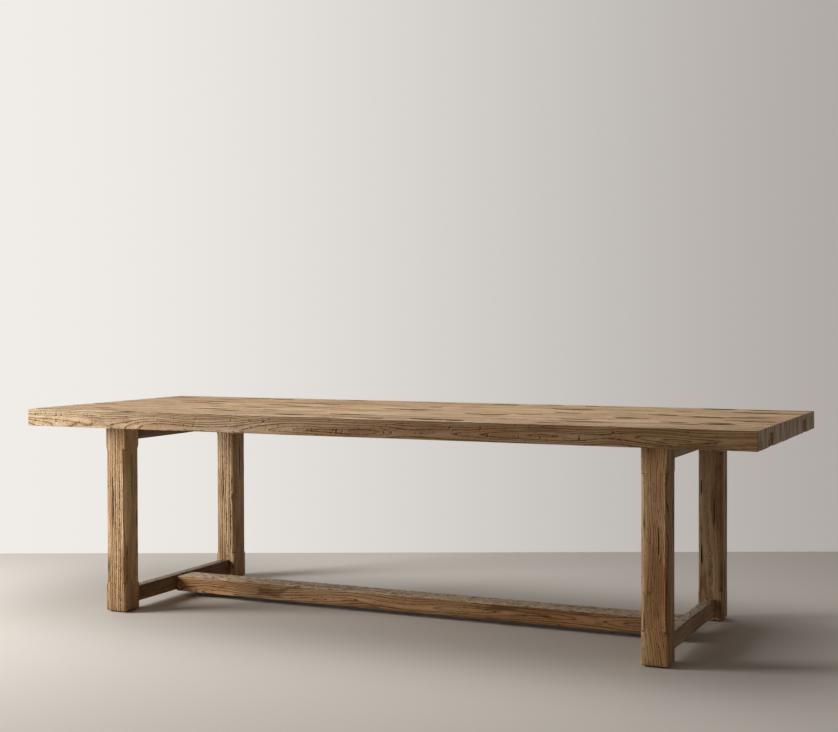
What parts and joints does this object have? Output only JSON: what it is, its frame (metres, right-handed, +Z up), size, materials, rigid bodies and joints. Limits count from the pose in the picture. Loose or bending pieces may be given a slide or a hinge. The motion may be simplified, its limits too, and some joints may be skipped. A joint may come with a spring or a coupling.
{
  "type": "dining table",
  "caption": "Long solid oak refectory table: thick plank top, end frames of stop-chamfered legs, low foot beam, and pull-out arms in the ends that carry a leaf.",
  "frame": {"origin": "on the floor, under the middle of the top", "axes": "+X along the table's length, +Y across it to the back, +Z up"},
  "size_m": [2.743, 1.016, 0.762],
  "materials": {
    "oak_top": "brushed and oiled, worn, with open grain and checks",
    "oak_frame": "brushed and oiled, worn, with open grain",
    "oak_arm": "planed and oiled",
    "oak_inner": "planed, bare",
    "zinc_steel": "zinc plated, dull",
    "brass_insert": "turned",
    "rubber_pad": "matt, dark brown"
  },
  "bodies": {
    "table": {"arm_board_back": "oak_top", "arm_board_front": "oak_top", "arm_guide_back_left": "oak_inner", "arm_guide_back_right": "oak_inner", "arm_guide_front_left": "oak_inner", "arm_guide_front_right": "oak_inner", "beam_peg_left": "oak_inner", "beam_peg_right": "oak_inner", "bolt_washers_left": "zinc_steel", "bolt_washers_right": "zinc_steel", "edge_board_back": "oak_top", "edge_board_front": "oak_top", "end_stretcher_left": "oak_frame", "end_stretcher_right": "oak_frame", "foot_beam": "oak_frame", "foot_pad_back_left": "rubber_pad", "foot_pad_back_right": "rubber_pad", "foot_pad_front_left": "rubber_pad", "foot_pad_front_right": "rubber_pad", "leg_back_left": "oak_frame", "leg_back_right": "oak_frame", "leg_front_left": "oak_frame", "leg_front_right": "oak_frame", "middle_board_back": "oak_top", "middle_board_front": "oak_top", "spline_back_inner": "oak_inner", "spline_back_outer": "oak_inner", "spline_front_inner": "oak_inner", "spline_front_outer": "oak_inner", "spline_middle": "oak_inner", "threaded_inserts_left": "brass_insert", "threaded_inserts_right": "brass_insert", "top_bolts_left": "zinc_steel", "top_bolts_right": "zinc_steel", "upper_rail_left": "oak_frame", "upper_rail_right": "oak_frame"},
    "pull_arm_front_left": {"arm_front_left": "oak_arm", "arm_stop_front_left": "oak_inner"},
    "pull_arm_back_left": {"arm_back_left": "oak_arm", "arm_stop_back_left": "oak_inner"},
    "pull_arm_front_right": {"arm_front_right": "oak_arm", "arm_stop_front_right": "oak_inner"},
    "pull_arm_back_right": {"arm_back_right": "oak_arm", "arm_stop_back_right": "oak_inner"}
  },
  "joints": [
    {"name": "arm_slide_front_left", "type": "slide", "parent": "table", "child": "pull_arm_front_left", "axis": [-1, 0, 0], "range_m": [0, 0.406]},
    {"name": "arm_slide_back_left", "type": "slide", "parent": "table", "child": "pull_arm_back_left", "axis": [-1, 0, 0], "range_m": [0, 0.406]},
    {"name": "arm_slide_front_right", "type": "slide", "parent": "table", "child": "pull_arm_front_right", "axis": [1, 0, 0], "range_m": [0, 0.406]},
    {"name": "arm_slide_back_right", "type": "slide", "parent": "table", "child": "pull_arm_back_right", "axis": [1, 0, 0], "range_m": [0, 0.406]}
  ]
}
